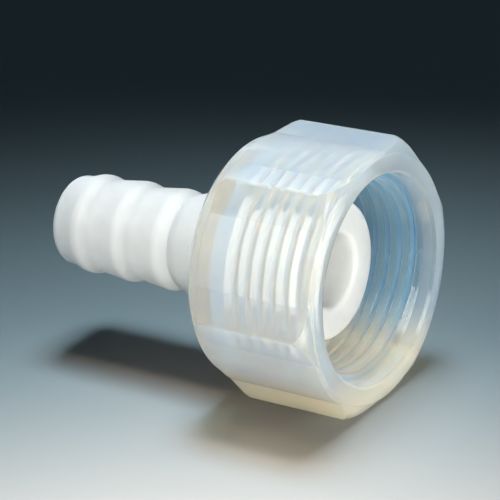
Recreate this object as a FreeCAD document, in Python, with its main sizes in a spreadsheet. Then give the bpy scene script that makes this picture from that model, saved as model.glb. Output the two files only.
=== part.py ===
import FreeCAD, Part
import math
import os
import Sketcher

# Hose adapter for a 3/4 inch pipe thread: a barbed hose nozzle with a loose union nut.
# The common axis is X. The origin is the centre of the nozzle's sealing face, +X points out
# of the nut's open end, and -Z is down as the adapter lies on a table.
# Both pieces are drawn from their own rear end, which is x = 0 in each body.

SIZES = [
    ("across_flats", 31.0, "grip hexagon, and the diameter of the plain collar behind it"),
    ("body_rise", 0.65, "how far the round body stands out over the flats of the hexagon"),
    ("nut_length", 18.8, "rear face to open face"),
    ("collar_length", 2.0, "plain collar at the rear"),
    ("collar_chamfer", 0.85, "rear outer edge of the collar"),
    ("shoulder_length", 0.35, "slope from the collar up to the round body"),
    ("front_chamfer", 0.5, "outer edge at the open end"),
    ("grip_start", 2.05, "rear end of the six corners"),
    ("grip_setback", 0.05, "from the open face back to the front end of the six corners"),
    ("rear_slope", 24.0, "degrees by which the rear end of each corner leans"),
    ("rear_round", 1.2, "radius from that end to the top of the corner"),
    ("front_slope", 20.0, "degrees by which the front end of each corner leans"),
    ("front_round", 2.0, "radius from that end to the top of the corner"),
    ("corner_round", 0.6, "radius along the six corners"),
    ("rear_wall", 3.0, "wall that the nozzle's head is held by"),
    ("thread_minor", 24.12, "crests of the internal thread, 3/4 inch pipe thread"),
    ("thread_depth", 1.16, "crest to root of that thread"),
    ("relief_length", 2.0, "wide space between the rear wall and the thread"),
    ("mouth_clearance", 0.08, "radial room of the plain recess over the thread's roots"),
    ("mouth_depth", 1.75, "length of the recess in front of the thread"),
    ("mouth_chamfer", 0.35, "inner edge at the open end"),
    ("thread_lead_in", 0.7, "length of the slope at each end of the thread"),
    ("shank_diameter", 13.4, "plain shank inside the nut, and the tops of the ribs"),
    ("shank_clearance", 0.1, "radial play of the nut on the shank"),
    ("seat_gap", 0.1, "axial play between the head and the nut's rear wall"),
    ("rib_height", 0.55, "tops of the ribs to the bottom of the grooves"),
    ("flow_bore", 9.4, "bore through the nozzle"),
    ("tip_length", 6.0, "nozzle's end to the first groove"),
    ("tip_drop", 0.75, "tops of the ribs to the rim of the nozzle's end"),
    ("tip_bevel_length", 1.0, "outer bevel of that end, along the axis"),
    ("tip_bevel_share", 0.6, "part of the end's wall taken by that bevel"),
    ("tip_mouth_share", 0.15, "part of the end's wall taken by the bevel of the bore"),
    ("rib_pitch", 6.4, "groove to groove"),
    ("rib_fall", 1.9, "length of the short side of a rib, towards the nut"),
    ("crest_round", 2.5, "radius on top of each rib"),
    ("barb_length", 28.0, "nozzle's end to the nut's rear face"),
    ("shank_rise", 1.6, "length of the slope from the last groove to the shank"),
    ("head_diameter", 17.8, "head that carries the sealing face"),
    ("head_length", 9.2, "shoulder of the head to the sealing face"),
    ("head_chamfer", 0.4, "outer edge of the head's shoulder"),
    ("face_bevel", 0.5, "outer edge of the sealing face"),
    ("bore_bevel", 0.4, "edge of the bore in the sealing face"),
]
RIBS = 3
CORNERS = 6
PAST = 1.0      # how far a cut runs past the face that it opens
OVER = 0.05     # how far over the tops of the corners their end rounds are drawn, so as to cross them

doc = FreeCAD.newDocument("HoseAdapter")
sheet = doc.addObject("Spreadsheet::Sheet", "Sizes")
for row, (alias, number, note) in enumerate(SIZES, start=1):
    sheet.set(f"A{row}", alias)
    sheet.set(f"B{row}", str(number))
    sheet.set(f"C{row}", note)
    sheet.setAlias(f"B{row}", alias)
doc.recompute()


def size(expression):
    """The present value of an expression over the sheet's cells."""
    return float(sheet.evalExpression(expression))


def half(name):
    return f"Sizes.{name} / 2"


def new_body(name):
    body = doc.addObject("PartDesign::Body", name)
    body.Label = name
    return body


def new_sketch(body, name, role):
    """An empty sketch on one of the body's own origin planes."""
    plane = [p for p in body.Origin.OriginFeatures if p.Role == role][0]
    sketch = body.newObject("Sketcher::SketchObject", name)
    sketch.AttachmentSupport = [(plane, "")]
    sketch.MapMode = "FlatFace"
    return sketch


def add_outline(sketch, corners):
    """A closed outline. A corner is a pair of expressions, with a third for the radius that rounds it."""
    points = [FreeCAD.Vector(size(c[0]), size(c[1]), 0) for c in corners]
    starts = []
    ends = []
    arcs = {}
    for i, corner in enumerate(corners):
        to_last = (points[i - 1] - points[i]).normalize()
        to_next = (points[(i + 1) % len(points)] - points[i]).normalize()
        reach = 0.0
        if len(corner) > 2:
            radius = size(corner[2])
            half = to_last.getAngle(to_next) / 2
            reach = radius / math.tan(half)
            middle = points[i] + (to_last + to_next).normalize() * (radius / math.sin(half))
            arcs[i] = (middle, radius, (to_last.cross(to_next)).z < 0)
        ends.append(points[i] + to_last * reach)
        starts.append(points[i] + to_next * reach)

    lines = [sketch.addGeometry(Part.LineSegment(starts[i], ends[(i + 1) % len(points)]), False)
             for i in range(len(points))]
    for i, corner in enumerate(corners):
        before, after = lines[i - 1], lines[i]
        if i not in arcs:
            sketch.addConstraint(Sketcher.Constraint("Coincident", before, 2, after, 1))
            place(sketch, after, 1, corner, points[i])
            continue
        middle, radius, turns_left = arcs[i]
        first, last = (ends[i], starts[i]) if turns_left else (starts[i], ends[i])
        angles = [math.atan2(p.y - middle.y, p.x - middle.x) for p in (first, last)]
        circle = Part.Circle(middle, FreeCAD.Vector(0, 0, 1), radius)
        arc = sketch.addGeometry(Part.ArcOfCircle(circle, angles[0], angles[1]), False)
        apex = sketch.addGeometry(Part.Point(points[i]), True)
        sketch.addConstraint(Sketcher.Constraint("Tangent", before, 2, arc, 1 if turns_left else 2))
        sketch.addConstraint(Sketcher.Constraint("Tangent", after, 1, arc, 2 if turns_left else 1))
        sketch.addConstraint(Sketcher.Constraint("PointOnObject", apex, 1, before))
        sketch.addConstraint(Sketcher.Constraint("PointOnObject", apex, 1, after))
        index = sketch.addConstraint(Sketcher.Constraint("Radius", arc, radius))
        sketch.setExpression(f"Constraints[{index}]", corner[2])
        place(sketch, apex, 1, corner, points[i])


def place(sketch, geometry, end, corner, point):
    """Ties a point of the sketch to its two expressions."""
    for kind, number, expression in (("DistanceX", point.x, corner[0]), ("DistanceY", point.y, corner[1])):
        index = sketch.addConstraint(Sketcher.Constraint(kind, -1, 1, geometry, end, number))
        sketch.setExpression(f"Constraints[{index}]", expression)


def revolved(body, kind, name, outlines):
    """A revolution or a groove about X, from outlines given as (x, radius) expressions."""
    sketch = new_sketch(body, name + "Profile", "XZ_Plane")
    for outline in outlines:
        add_outline(sketch, outline)
    doc.recompute()
    feature = body.newObject("PartDesign::" + kind, name)
    feature.Profile = sketch
    feature.ReferenceAxis = (sketch, ["H_Axis"])
    feature.Angle = 360
    sketch.Visibility = False
    doc.recompute()
    return feature


def cut(body, name, outlines):
    """A groove that must remove material."""
    before = body.Shape.Volume
    groove = revolved(body, "Groove", name, outlines)
    if groove.Shape.Volume >= before:
        raise RuntimeError(f"{name} removes nothing")


# Union nut: a hexagonal bar, turned down at both ends, with the round body laid over it, so that
# only its corners stand out as grip ridges. The inside is cut last.
def make_nut():
    nut = new_body("union_nut")
    flat = half("across_flats")
    corner = f"{flat} / cos({180 / CORNERS} deg)"

    outline = new_sketch(nut, "GripHexagon", "YZ_Plane")
    outline.setExpression("AttachmentOffset.Base.z", "Sizes.grip_start")
    turns = [360 / CORNERS * k for k in range(CORNERS)]
    add_outline(outline, [
        (f"{corner} * cos({turn} deg)", f"{corner} * sin({turn} deg)", "Sizes.corner_round")
        for turn in turns
    ])
    doc.recompute()
    bar = nut.newObject("PartDesign::Pad", "GripBar")
    bar.Profile = outline
    bar.setExpression("Length", "Sizes.nut_length - Sizes.grip_setback - Sizes.grip_start")
    outline.Visibility = False
    doc.recompute()

    # Each end leans back from the flats and is rounded over onto the top of the corner.
    round_centre = f"({flat} - Sizes.corner_round) / cos({180 / CORNERS} deg)"
    top = f"{round_centre} + Sizes.corner_round + {OVER}"
    clear = "Sizes.across_flats"
    ends = []
    for side, start, inwards, outwards in (("rear", "Sizes.grip_start", "+", "-"),
                                           ("front", "Sizes.nut_length - Sizes.grip_setback", "-", "+")):
        lean = f"({top} - {flat}) * tan(Sizes.{side}_slope * 1 deg)"
        ends.append([
            (start, flat),
            (f"{start} {inwards} {lean}", top, f"Sizes.{side}_round"),
            (f"{start} {inwards} ({lean} + Sizes.{side}_round)", top),
            (f"{start} {inwards} ({lean} + Sizes.{side}_round)", clear),
            (f"{start} {outwards} {PAST}", clear),
            (f"{start} {outwards} {PAST}", flat),
        ])
    cut(nut, "GripEnds", ends)

    body_radius = f"{flat} + Sizes.body_rise"
    revolved(nut, "Revolution", "RoundBody", [[
        ("0", "0"),
        ("0", f"{flat} - Sizes.collar_chamfer"),
        ("Sizes.collar_chamfer", flat),
        ("Sizes.collar_length", flat),
        ("Sizes.collar_length + Sizes.shoulder_length", body_radius),
        ("Sizes.nut_length - Sizes.front_chamfer", body_radius),
        ("Sizes.nut_length", f"{body_radius} - Sizes.front_chamfer"),
        ("Sizes.nut_length", "0"),
    ]])

    # Hole for the shank, relief, thread and mouth. The thread is a plain bore here: at its crests in
    # front of the sealing face, where it takes the mating thread, and at its mid depth behind.
    hole = f"{half('shank_diameter')} + Sizes.shank_clearance"
    crest = half("thread_minor")
    middle = f"{crest} + Sizes.thread_depth / 2"
    root = f"{crest} + Sizes.thread_depth"
    relief_end = "Sizes.rear_wall + Sizes.relief_length"
    seal_plane = "Sizes.rear_wall + Sizes.seat_gap + Sizes.head_length"
    mouth = f"{root} + Sizes.mouth_clearance"
    mouth_rim = f"{mouth} + Sizes.mouth_chamfer"
    mouth_floor = "Sizes.nut_length - Sizes.mouth_depth"
    cut(nut, "Inside", [[
        (f"-{PAST}", "0"),
        (f"-{PAST}", hole),
        ("Sizes.rear_wall", hole),
        ("Sizes.rear_wall", root),
        (relief_end, root),
        (f"{relief_end} + Sizes.thread_lead_in", middle),
        (seal_plane, middle),
        (seal_plane, crest),
        (f"{mouth_floor} - Sizes.thread_lead_in", crest),
        (mouth_floor, mouth),
        ("Sizes.nut_length - Sizes.mouth_chamfer", mouth),
        ("Sizes.nut_length", mouth_rim),
        (f"Sizes.nut_length + {PAST}", mouth_rim),
        (f"Sizes.nut_length + {PAST}", "0"),
    ]])

    # Lying free, the nut rests on its round body and on the nearest corner, which turns it by the
    # angle between that corner and the straight line down.
    lying = f"acos(({body_radius} - Sizes.corner_round) / ({round_centre}))"
    nut.Placement = FreeCAD.Placement(FreeCAD.Vector(), FreeCAD.Rotation(FreeCAD.Vector(1, 0, 0), 1))
    nut.setExpression("Placement.Base.x", f"-({seal_plane})")
    nut.setExpression("Placement.Rotation.Angle", f"{180 / CORNERS} deg - {lying}")
    return nut


# Hose nozzle, turned in one piece: ribbed barb, plain shank through the nut's rear wall and a round
# head with the flat sealing face, bored right through.
def make_nozzle():
    nozzle = new_body("hose_nozzle")
    bore = half("flow_bore")
    crest = half("shank_diameter")
    head = half("head_diameter")
    tip = f"{crest} - Sizes.tip_drop"
    tip_wall = f"({tip} - {bore})"
    tip_mouth = f"Sizes.tip_mouth_share * {tip_wall}"
    shoulder = "Sizes.barb_length + Sizes.rear_wall + Sizes.seat_gap"
    face = f"{shoulder} + Sizes.head_length"

    outline = [
        (tip_mouth, bore),
        ("0", f"{bore} + {tip_mouth}"),
        ("0", f"{tip} - Sizes.tip_bevel_share * {tip_wall}"),
        ("Sizes.tip_bevel_length", tip),
    ]
    for k in range(RIBS):
        groove = f"Sizes.tip_length + {k} * Sizes.rib_pitch"
        outline.append((f"{groove} - Sizes.rib_fall", crest, "Sizes.crest_round"))
        outline.append((groove, f"{crest} - Sizes.rib_height"))
    outline += [
        (f"{groove} + Sizes.shank_rise", crest),
        (shoulder, crest),
        (shoulder, f"{head} - Sizes.head_chamfer"),
        (f"{shoulder} + Sizes.head_chamfer", head),
        (f"{face} - Sizes.face_bevel", head),
        (face, f"{head} - Sizes.face_bevel"),
        (face, f"{bore} + Sizes.bore_bevel"),
        (f"{face} - Sizes.bore_bevel", bore),
    ]
    revolved(nozzle, "Revolution", "TurnedShape", [outline])
    nozzle.setExpression("Placement.Base.x", f"-({face})")
    return nozzle


pieces = [make_nut(), make_nozzle()]
doc.recompute()

for item in doc.Objects:
    if "Invalid" in item.State or "Error" in item.State:
        raise RuntimeError(f"{item.Name} did not compute")

os.makedirs("parts", exist_ok=True)
for piece in pieces:
    shape = piece.Shape
    if shape.isNull() or not shape.isValid() or len(shape.Solids) != 1:
        raise RuntimeError(f"{piece.Label} is not one valid solid")
    shape.exportStep(f"parts/{piece.Label}.step")
    print(f"{piece.Label}: {shape.Volume:.1f} mm3, x {shape.BoundBox.XMin:.2f} to {shape.BoundBox.XMax:.2f}")
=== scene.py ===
import math

import bpy
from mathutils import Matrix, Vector


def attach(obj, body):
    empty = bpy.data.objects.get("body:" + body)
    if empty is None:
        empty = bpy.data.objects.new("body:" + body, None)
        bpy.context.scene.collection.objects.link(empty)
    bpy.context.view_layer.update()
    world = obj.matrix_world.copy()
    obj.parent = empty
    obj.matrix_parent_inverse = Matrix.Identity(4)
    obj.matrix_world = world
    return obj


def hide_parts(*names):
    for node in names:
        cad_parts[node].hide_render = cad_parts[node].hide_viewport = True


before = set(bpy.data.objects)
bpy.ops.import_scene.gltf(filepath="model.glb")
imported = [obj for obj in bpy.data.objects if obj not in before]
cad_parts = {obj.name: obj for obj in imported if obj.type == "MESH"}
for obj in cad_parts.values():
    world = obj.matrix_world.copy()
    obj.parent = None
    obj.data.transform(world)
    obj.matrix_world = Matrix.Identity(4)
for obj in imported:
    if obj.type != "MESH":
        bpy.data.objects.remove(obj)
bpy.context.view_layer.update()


# Hose nozzle. One piece of opaque white fluoropolymer, turned about the X axis and bored through:
# a barb with three rounded ribs, a plain shank that passes through the nut, and a round head whose
# flat face seals against the fitting. X counts from that face in mm, and sizes across are radii.
MM = 0.001
SAME_POINT = MM / 500
NOZZLE_LENGTH = 40.3
BORE = 4.7
TIP = 5.95
TIP_LENGTH = 1.8
RIBS = 3
RIB = 6.7
RIB_PITCH = 6.4
RIB_FALL = 1.9
RIB_ROUND = 2.5
GROOVE = 6.15
FIRST_GROOVE = NOZZLE_LENGTH - 6.0
LAST_RISE = 1.6
SHANK = RIB
HEAD = 8.9
HEAD_LENGTH = 9.2
WHITE = (0.61, 0.625, 0.63, 1)
BRIGHT_WHITE = (0.65, 0.665, 0.67, 1)


def drawn(name, corners):
    """Draws a line through (x, radius) corners as a new piece, which stays in edit mode."""
    bpy.ops.object.select_all(action="DESELECT")
    bpy.ops.mesh.primitive_plane_add(size=MM, location=(0, 0, 0))
    piece = bpy.context.object
    piece.name = name
    bpy.ops.object.mode_set(mode="EDIT")
    bpy.ops.mesh.merge(type="CENTER")
    bpy.ops.transform.translate(value=(corners[0][0] * MM, 0, corners[0][1] * MM))
    for last, here in zip(corners, corners[1:]):
        step = ((here[0] - last[0]) * MM, 0, (here[1] - last[1]) * MM)
        bpy.ops.mesh.extrude_vertices_move(TRANSFORM_OT_translate={"value": step})
    return piece


def turned(name, corners, steps):
    """Spins an outline of (x, radius) corners about X. A third number in a corner rounds it off.

    An outline that starts on the axis ends there; any other is closed."""
    piece = drawn(name, corners + corners[:1] if corners[0][1] else corners)
    bpy.ops.mesh.select_all(action="SELECT")
    bpy.ops.mesh.remove_doubles(threshold=SAME_POINT)
    for i, (x, r, *rounded) in enumerate(corners):
        if not rounded:
            continue
        before, after = corners[i - 1], corners[(i + 1) % len(corners)]
        to_last = math.atan2(before[1] - r, before[0] - x)
        to_next = math.atan2(after[1] - r, after[0] - x)
        opening = abs((to_last - to_next + math.pi) % (2 * math.pi) - math.pi)
        offset = rounded[0] * MM / math.tan(opening / 2)
        bpy.ops.mesh.select_all(action="DESELECT")
        bpy.ops.object.mode_set(mode="OBJECT")
        for v in piece.data.vertices:
            v.select = abs(v.co.x - x * MM) < SAME_POINT and abs(v.co.z - r * MM) < SAME_POINT
        bpy.ops.object.mode_set(mode="EDIT")
        bpy.ops.mesh.bevel(offset=offset, segments=8, affect="VERTICES")
    bpy.ops.mesh.select_all(action="SELECT")
    bpy.ops.mesh.spin(steps=steps, angle=2 * math.pi, center=(0, 0, 0), axis=(1, 0, 0))
    bpy.ops.mesh.select_all(action="SELECT")
    bpy.ops.mesh.remove_doubles(threshold=SAME_POINT)
    bpy.ops.mesh.normals_make_consistent(inside=False)
    bpy.ops.object.mode_set(mode="OBJECT")
    return piece


def smooth(piece, crease):
    """Shades a piece smooth, apart from edges that turn by more than crease degrees."""
    bpy.ops.object.select_all(action="DESELECT")
    piece.select_set(True)
    bpy.context.view_layer.objects.active = piece
    bpy.ops.object.shade_smooth_by_angle(angle=math.radians(crease))


def feed(tree, socket, value):
    """Sets a socket to a number or a colour, or links a node's output to it."""
    if isinstance(value, bpy.types.NodeSocket):
        tree.links.new(value, socket)
    else:
        socket.default_value = value


def noise(tree, vector, scale, detail):
    """Returns noise with grains of about 1 / scale metres."""
    node = tree.nodes.new("ShaderNodeTexNoise")
    feed(tree, node.inputs["Vector"], vector)
    feed(tree, node.inputs["Scale"], scale)
    feed(tree, node.inputs["Detail"], detail)
    return node.outputs["Fac"]


def graded(tree, value, start=0, end=1, low=0, high=1):
    """Returns low where a value is at start, high where it is at end, and a blend between them."""
    node = tree.nodes.new("ShaderNodeMapRange")
    feed(tree, node.inputs["Value"], value)
    feed(tree, node.inputs["From Min"], start)
    feed(tree, node.inputs["From Max"], end)
    feed(tree, node.inputs["To Min"], low)
    feed(tree, node.inputs["To Max"], high)
    return node.outputs["Result"]


def tinted(tree, value, *stops):
    """Returns a colour that passes through (position, colour) stops as a value rises."""
    node = tree.nodes.new("ShaderNodeValToRGB")
    feed(tree, node.inputs["Fac"], value)
    marks = node.color_ramp.elements
    marks[0].position, marks[0].color = stops[0]
    marks[1].position, marks[1].color = stops[-1]
    for position, colour in stops[1:-1]:
        marks.new(position).color = colour
    return node.outputs["Color"]


def turning_marks(tree, vector, scale, across, strength, shaders):
    """Puts a fine bump on shaders, drawn out round the X axis as a lathe tool leaves it."""
    stretch = tree.nodes.new("ShaderNodeMapping")
    feed(tree, stretch.inputs["Vector"], vector)
    feed(tree, stretch.inputs["Scale"], (1.0, across, across))
    relief = tree.nodes.new("ShaderNodeBump")
    feed(tree, relief.inputs["Strength"], strength)
    feed(tree, relief.inputs["Distance"], 0.05 * MM)
    feed(tree, relief.inputs["Height"], noise(tree, stretch.outputs["Vector"], scale, detail=2))
    for shader in shaders:
        feed(tree, shader.inputs["Normal"], relief.outputs["Normal"])


outline = [(1.0 - NOZZLE_LENGTH, BORE), (-NOZZLE_LENGTH, BORE, 0.2), (-NOZZLE_LENGTH, TIP, 1.0),
           (TIP_LENGTH - NOZZLE_LENGTH, TIP)]
for rib in range(RIBS):
    groove = RIB_PITCH * rib - FIRST_GROOVE
    outline += [(groove - RIB_FALL, RIB, RIB_ROUND), (groove, GROOVE)]
outline += [(groove + LAST_RISE, SHANK), (-HEAD_LENGTH, SHANK), (-HEAD_LENGTH, HEAD, 0.4),
            (0, HEAD, 0.8), (0, BORE, 0.6)]
nozzle = turned("nozzle_turned", outline, steps=160)
smooth(nozzle, crease=30)

white = bpy.data.materials.new("white_plastic")
white.use_nodes = True
tree = white.node_tree
shader = tree.nodes["Principled BSDF"]
shader.inputs["IOR"].default_value = 1.35
shader.inputs["Subsurface Weight"].default_value = 1.0
shader.inputs["Subsurface Radius"].default_value = (1.0, 0.97, 0.9)
shader.inputs["Subsurface Scale"].default_value = 4.5 * MM
place = tree.nodes.new("ShaderNodeTexCoord").outputs["Object"]
grain = noise(tree, place, scale=400, detail=4)
feed(tree, shader.inputs["Base Color"], tinted(tree, grain, (0.3, WHITE), (0.7, BRIGHT_WHITE)))
feed(tree, shader.inputs["Roughness"], graded(tree, grain, low=0.36, high=0.54))
turning_marks(tree, place, scale=2500, across=0.12, strength=0.25, shaders=[shader])
nozzle.data.materials.append(white)
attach(nozzle, "nozzle")
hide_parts("hose_nozzle")


# Union nut. One piece of milky, half-clear fluoropolymer: a round body out of which the corners of a
# hexagonal bar stand as grip ridges, turned down at both ends, with a right-hand pipe thread inside.
# It is measured from its rear face, 12.3 mm behind the sealing face, and lies on its body and a ridge.
REAR = -12.3
NUT_LENGTH = 18.8
FLAT = 15.5
BODY = 16.15
CORNER_ROUND = 0.6
COLLAR_LENGTH = 2.0
COLLAR_CHAMFER = 0.85
SHOULDER = 0.35
FRONT_CHAMFER = 0.5
RIDGE_LEAN_REAR = 24
RIDGE_LEAN_FRONT = 20
CLEARANCE = 0.05
WALL = 3.0
HOLE = 6.8
RELIEF = 13.22
RELIEF_LENGTH = 2.0
CORE = 11.0
CORE_START = 6.6
CORE_END = NUT_LENGTH - 4.3
MOUTH = 13.3
MOUTH_LENGTH = 1.75
MOUTH_CHAMFER = 0.35
PAST_THE_END = 1
LYING_TURN = 4.67
MILK = (0.53, 0.645, 0.80, 1)
PALE_MILK = (0.585, 0.70, 0.845, 1)
BLUE = (0.25, 0.54, 0.95, 1)
# The deep blue and the cream below paint shade and light on the nut where it is seen through its
# plastic.
PAINTED_SHADE_DEEP_BLUE = (0.19, 0.36, 0.55, 1)
# The grey-blue, amber and pale cream below paint the glow and shade of light gathering low on the nut.
PAINTED_SHADE_GREY_BLUE = (0.32, 0.46, 0.62, 1)
PAINTED_GLOW_AMBER = (0.88, 0.69, 0.43, 1)
PAINTED_GLOW_CREAM = (0.90, 0.85, 0.71, 1)
PAINTED_GLOW_PALE_CREAM = (0.97, 0.91, 0.77, 1)


def in_nut(corners):
    """Moves corners that are measured from the nut's rear face to where that face is."""
    return [(x + REAR, *rest) for x, *rest in corners]


def combine(piece, other, operation):
    """Joins, cuts or trims a piece with another, which is used up."""
    step = piece.modifiers.new(operation.lower(), "BOOLEAN")
    step.operation = operation
    step.object = other
    step.solver = "MANIFOLD"
    bpy.context.view_layer.objects.active = piece
    bpy.ops.object.modifier_apply(modifier=step.name)
    bpy.data.objects.remove(other)


def blended(tree, amount, first, second):
    """Returns the first colour where the amount is 0, and the second where it is 1."""
    node = tree.nodes.new("ShaderNodeMix")
    node.data_type = "RGBA"
    feed(tree, node.inputs[0], amount)
    feed(tree, node.inputs[6], first)
    feed(tree, node.inputs[7], second)
    return node.outputs[2]


bpy.ops.object.select_all(action="DESELECT")
bpy.ops.mesh.primitive_cylinder_add(
    vertices=6, radius=FLAT / math.cos(math.pi / 6) * MM, depth=NUT_LENGTH * MM,
    location=((REAR + NUT_LENGTH / 2) * MM, 0, 0), rotation=(0, math.pi / 2, 0))
nut = bpy.context.object
nut.name = "nut_threaded"
bpy.ops.object.transform_apply(location=True, rotation=True, scale=True)
bpy.ops.object.mode_set(mode="EDIT")
bpy.ops.mesh.select_all(action="DESELECT")
bpy.ops.mesh.select_mode(type="EDGE")
bpy.ops.object.mode_set(mode="OBJECT")
for edge in nut.data.edges:
    start, end = [nut.data.vertices[i].co for i in edge.vertices]
    edge.select = abs(start.x - end.x) > NUT_LENGTH / 2 * MM
bpy.ops.object.mode_set(mode="EDIT")
bpy.ops.mesh.bevel(offset=CORNER_ROUND * math.tan(math.pi / 6) * MM, segments=8, affect="EDGES")
bpy.ops.mesh.select_mode(type="VERT")
bpy.ops.object.mode_set(mode="OBJECT")

ridge_top = (FLAT - CORNER_ROUND) / math.cos(math.pi / 6) + CORNER_ROUND + CLEARANCE
rear_lean = (ridge_top - FLAT) * math.tan(math.radians(RIDGE_LEAN_REAR))
front_lean = (ridge_top - FLAT) * math.tan(math.radians(RIDGE_LEAN_FRONT))
grip_start = COLLAR_LENGTH + CLEARANCE
grip_end = NUT_LENGTH - CLEARANCE
grip = turned("grip_ends", in_nut([
    (grip_start, 0), (grip_start, FLAT), (grip_start + rear_lean, ridge_top, 1.2),
    (grip_end - front_lean, ridge_top, 2.0), (grip_end, FLAT), (grip_end, 0)]), steps=192)
combine(nut, grip, "INTERSECT")
body = turned("round_body", in_nut([
    (0, 0), (0, FLAT - COLLAR_CHAMFER, 0.3), (COLLAR_CHAMFER, FLAT, 0.3), (COLLAR_LENGTH, FLAT),
    (COLLAR_LENGTH + SHOULDER, BODY, 0.3), (NUT_LENGTH - FRONT_CHAMFER, BODY, 0.3),
    (NUT_LENGTH, BODY - FRONT_CHAMFER, 0.15), (NUT_LENGTH, 0)]), steps=192)
combine(nut, body, "UNION")
inside = turned("inside", in_nut([
    (-PAST_THE_END, 0), (-PAST_THE_END, HOLE), (WALL, HOLE), (WALL, RELIEF),
    (WALL + RELIEF_LENGTH, RELIEF), (CORE_START, CORE), (CORE_END, CORE),
    (NUT_LENGTH - MOUTH_LENGTH, MOUTH), (NUT_LENGTH - MOUTH_CHAMFER, MOUTH),
    (NUT_LENGTH, MOUTH + MOUTH_CHAMFER), (NUT_LENGTH + PAST_THE_END, MOUTH + MOUTH_CHAMFER),
    (NUT_LENGTH + PAST_THE_END, 0)]), steps=192)
combine(nut, inside, "DIFFERENCE")

# The thread: one pitch of its outline, drawn along the axis, is screwed into a long rod, trimmed
# to length and cut out of the nut. The cuts leave slivers where edges coincide, which are merged.
PITCH = 1.814
LAND = 12.06
ROOT = 12.95
THREAD_BREAK = 0.06
ROD_START = 2.6
ROD_TURNS = 10
THREAD_START = 4.8
THREAD_END = NUT_LENGTH - 1.6
thread = [(0, LAND), (0.98, LAND), (1.03, LAND + THREAD_BREAK), (1.22, ROOT - THREAD_BREAK),
          (1.28, ROOT), (1.50, ROOT), (1.56, ROOT - THREAD_BREAK), (1.76, LAND + THREAD_BREAK),
          (PITCH, LAND)]
rod = drawn("thread_rod", in_nut([(ROD_START + x, r) for x, r in thread]))
bpy.ops.object.mode_set(mode="OBJECT")
screw = rod.modifiers.new("screw", "SCREW")
screw.axis = "X"
screw.angle = 2 * math.pi
screw.screw_offset = PITCH * MM
screw.iterations = ROD_TURNS
screw.steps = 144
screw.render_steps = 144
screw.use_merge_vertices = False
bpy.context.view_layer.objects.active = rod
bpy.ops.object.modifier_apply(modifier=screw.name)
bpy.ops.object.mode_set(mode="EDIT")
bpy.ops.mesh.select_all(action="SELECT")
bpy.ops.mesh.remove_doubles(threshold=SAME_POINT)
for x, at_rear in ((THREAD_START, True), (THREAD_END, False)):
    bpy.ops.mesh.select_all(action="SELECT")
    bpy.ops.mesh.bisect(plane_co=((REAR + x) * MM, 0, 0), plane_no=(1, 0, 0), use_fill=True,
                        clear_inner=at_rear, clear_outer=not at_rear, threshold=SAME_POINT / 20)
bpy.ops.mesh.select_all(action="SELECT")
bpy.ops.mesh.normals_make_consistent(inside=False)
bpy.ops.object.mode_set(mode="OBJECT")
combine(nut, rod, "DIFFERENCE")
bpy.ops.object.select_all(action="DESELECT")
nut.select_set(True)
bpy.ops.object.mode_set(mode="EDIT")
bpy.ops.mesh.select_all(action="SELECT")
bpy.ops.mesh.remove_doubles(threshold=SAME_POINT)
bpy.ops.mesh.dissolve_degenerate(threshold=SAME_POINT)
bpy.ops.object.mode_set(mode="OBJECT")
nut.rotation_euler.x = math.radians(LYING_TURN)
smooth(nut, crease=13)
bpy.ops.object.transform_apply(location=False, rotation=True, scale=False)

milky = bpy.data.materials.new("opal_plastic")
milky.use_nodes = True
tree = milky.node_tree
place = tree.nodes.new("ShaderNodeTexCoord").outputs["Object"]
clouds = noise(tree, place, scale=90, detail=3)
clear = tree.nodes["Principled BSDF"]
clear.inputs["Base Color"].default_value = (1, 1, 1, 1)
clear.inputs["IOR"].default_value = 1.34
clear.inputs["Transmission Weight"].default_value = 1.0
haze = tree.nodes.new("ShaderNodeBsdfPrincipled")
haze.inputs["IOR"].default_value = 1.34
haze.inputs["Subsurface Weight"].default_value = 1.0
haze.inputs["Subsurface Radius"].default_value = (1.0, 0.8, 0.6)
haze.inputs["Subsurface Scale"].default_value = 8 * MM

# The colour of the cloudy share. From the air the thread is blue and the outside milky. Seen through
# the plastic the inner wall is painted cream light and the outside painted deep blue shade. Low down,
# a
# painted glow of light that gathers there: the lands amber, the rest cream, the grooves grey-blue
# shade.
square_to_axis = tree.nodes.new("ShaderNodeVectorMath")
square_to_axis.operation = "MULTIPLY"
feed(tree, square_to_axis.inputs[0], place)
feed(tree, square_to_axis.inputs[1], (0, 1, 1))
from_axis = tree.nodes.new("ShaderNodeVectorMath")
from_axis.operation = "LENGTH"
feed(tree, from_axis.inputs[0], square_to_axis.outputs["Vector"])
radius = from_axis.outputs["Value"]
heights = tree.nodes.new("ShaderNodeSeparateXYZ")
feed(tree, heights.inputs["Vector"], place)
off_thread = graded(tree, radius, start=ROOT * MM, end=13.25 * MM)
skin = blended(tree, off_thread, BLUE, tinted(tree, clouds, (0.35, MILK), (0.65, PALE_MILK)))
off_mouth = graded(tree, radius, start=13.6 * MM, end=14.6 * MM)
# Painted light and shade: cream on the inner wall and deep blue on the outside, seen through the
# plastic.
painted_light_and_shade_through = blended(tree, off_mouth, PAINTED_GLOW_CREAM, PAINTED_SHADE_DEEP_BLUE)
from_inside = tree.nodes.new("ShaderNodeNewGeometry").outputs["Backfacing"]
skin_and_painted_light = blended(tree, from_inside, skin, painted_light_and_shade_through)
# Painted glow low on the nut: amber lands and cream, with painted grey-blue shade in the grooves.
across_thread = graded(tree, radius, start=12.0 * MM, end=14.0 * MM)
painted_glow_bands = tinted(tree, across_thread, (0.1, PAINTED_GLOW_AMBER), (0.4, PAINTED_SHADE_GREY_BLUE), (0.75, PAINTED_GLOW_PALE_CREAM))
painted_glow_low_down = graded(tree, heights.outputs["Z"], start=-9.0 * MM, end=-14.5 * MM)
feed(tree, haze.inputs["Base Color"], blended(tree, painted_glow_low_down, skin_and_painted_light, painted_glow_bands))

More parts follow.
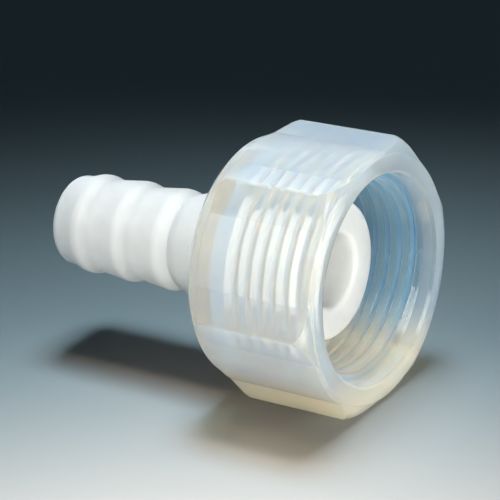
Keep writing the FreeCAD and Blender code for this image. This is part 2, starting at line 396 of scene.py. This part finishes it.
gloss = graded(tree, clouds, low=0.03, high=0.08)
feed(tree, clear.inputs["Roughness"], gloss)
feed(tree, haze.inputs["Roughness"], gloss)
turning_marks(tree, place, scale=1500, across=0.08, strength=0.2, shaders=[clear, haze])

# Clear and cloudy are mixed, cloudier at a glancing view and towards the outside. Lamps shine through
# it in part, and what passes through the plastic turns warm.
facing = tree.nodes.new("ShaderNodeLayerWeight")
facing.inputs["Blend"].default_value = 0.5
haze_least = graded(tree, radius, start=13.0 * MM, end=14.6 * MM, low=0.12, high=0.32)
haze_share = graded(tree, facing.outputs["Facing"], low=haze_least, high=0.80)
mixed = tree.nodes.new("ShaderNodeMixShader")
feed(tree, mixed.inputs["Fac"], haze_share)
feed(tree, mixed.inputs[1], clear.outputs["BSDF"])
feed(tree, mixed.inputs[2], haze.outputs["BSDF"])
lets_light = tree.nodes.new("ShaderNodeBsdfTransparent")
lets_light.inputs["Color"].default_value = (0.62, 0.62, 0.61, 1)
ray = tree.nodes.new("ShaderNodeLightPath")
through = tree.nodes.new("ShaderNodeMixShader")
feed(tree, through.inputs["Fac"], ray.outputs["Is Shadow Ray"])
feed(tree, through.inputs[1], mixed.outputs["Shader"])
feed(tree, through.inputs[2], lets_light.outputs["BSDF"])
feed(tree, tree.nodes["Material Output"].inputs["Surface"], through.outputs["Shader"])
warm = tree.nodes.new("ShaderNodeVolumeAbsorption")
warm.inputs["Color"].default_value = (1.0, 0.92, 0.74, 1)
warm.inputs["Density"].default_value = 115
feed(tree, tree.nodes["Material Output"].inputs["Volume"], warm.outputs["Volume"])
nut.data.materials.clear()
nut.data.materials.append(milky)
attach(nut, "nut")
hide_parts("union_nut")


# Studio. A plain pale floor under the nut, and soft square lamps. Some light only the floor, the nut
# or the nozzle, so that the floor fades from dark to pale while the part is lit evenly. The camera
# stands where the photograph was taken from.
bpy.ops.object.select_all(action="DESELECT")
bpy.ops.mesh.primitive_plane_add(size=3, location=(0, 0, -BODY * MM))
floor = bpy.context.object
floor.name = "floor"
pale = bpy.data.materials.new("pale_floor")
pale.use_nodes = True
shader = pale.node_tree.nodes["Principled BSDF"]
shader.inputs["Base Color"].default_value = (0.28, 0.28, 0.28, 1)
shader.inputs["Roughness"].default_value = 0.6
floor.data.materials.append(pale)


def group(name, *members):
    """Gathers objects in a collection that a lamp can be linked to."""
    collection = bpy.data.collections.new(name)
    for member in members:
        collection.objects.link(member)
    return collection


def softbox(name, place, aim, size, power, colour, spread, skin_and_painted_light, shades=None):
    """Adds a square lamp that lights one group. Where shades are given, they alone shade its light."""
    bpy.ops.object.light_add(type="AREA", location=place)
    lamp = bpy.context.object
    lamp.name = name
    lamp.rotation_euler = (Vector(aim) - Vector(place)).to_track_quat("-Z", "Y").to_euler()
    lamp.data.shape = "SQUARE"
    lamp.data.size = size
    lamp.data.energy = power
    lamp.data.color = colour
    lamp.data.spread = math.radians(spread)
    lamp.light_linking.receiver_collection = skin_and_painted_light
    lamp.light_linking.blocker_collection = shades


lit_floor = group("lit_floor", floor)
lit_part = group("lit_part", nozzle, nut)
lit_nozzle = group("lit_nozzle", nozzle)
lit_nut = group("lit_nut", nut)
solid = group("not_see_through", nozzle, floor)
WIDE = 150
softbox("floor_overhead", place=(-0.0269, 0.0581, 0.284), aim=(0.0085, -0.0659, -0.016),
        size=0.11, power=0.143, colour=(0.58, 0.86, 1.0), spread=47, skin_and_painted_light=lit_floor)
softbox("floor_front", place=(0.0076, -0.0163, 0.204), aim=(0.0341, -0.0971, -0.016),
        size=0.07, power=0.186, colour=(1.0, 0.76, 0.58), spread=49, skin_and_painted_light=lit_floor)
softbox("part_overhead", place=(-0.03, 0.05, 0.26), aim=(0, 0, 0),
        size=0.16, power=0.37, colour=(0.92, 0.98, 1.0), spread=WIDE, skin_and_painted_light=lit_part)
softbox("part_back", place=(-0.20, 0.10, 0.08), aim=(-0.01, 0, 0),
        size=0.16, power=0.11, colour=(0.80, 0.92, 1.0), spread=WIDE, skin_and_painted_light=lit_part)
softbox("nut_front", place=(0.06, -0.20, 0.20), aim=(-0.01, 0, 0),
        size=0.20, power=0.19, colour=(1.0, 0.97, 0.90), spread=WIDE, skin_and_painted_light=lit_nut)
softbox("nut_low", place=(0.04, -0.20, 0.03), aim=(-0.01, 0, -0.01),
        size=0.12, power=0.18, colour=(1.0, 0.93, 0.81), spread=WIDE, skin_and_painted_light=lit_nut)
softbox("nut_mouth", place=(0.21, -0.05, 0.11), aim=(0, 0, 0),
        size=0.12, power=0.31, colour=(1.0, 0.98, 0.93), spread=WIDE, skin_and_painted_light=lit_nut)
softbox("nozzle_side", place=(-0.06, -0.12, 0.18), aim=(-0.02, 0, 0),
        size=0.16, power=0.16, colour=(0.97, 1.0, 1.0), spread=WIDE, skin_and_painted_light=lit_nozzle, shades=solid)
softbox("nozzle_fill", place=(0.19, -0.13, 0.02), aim=(0, 0, 0),
        size=0.12, power=0.63, colour=(1.0, 0.97, 0.90), spread=WIDE, skin_and_painted_light=lit_nozzle, shades=solid)

world = bpy.data.worlds.new("studio_air")
bpy.context.scene.world = world
world.use_nodes = True
air = world.node_tree.nodes["Background"]
air.inputs["Color"].default_value = (0.0235, 0.0414, 0.0514, 1)
air.inputs["Strength"].default_value = 1.0

bpy.ops.object.camera_add(
    location=(0.14719, -0.22905, 0.12038),
    rotation=(math.radians(66.7298), math.radians(3.6802), math.radians(33.3571)))
camera = bpy.context.object
camera.name = "photo_camera"
camera.data.lens = 172.8
camera.data.sensor_width = 36
camera.data.clip_start = 0.01
bpy.context.scene.camera = camera
bpy.context.scene.view_settings.view_transform = "Standard"
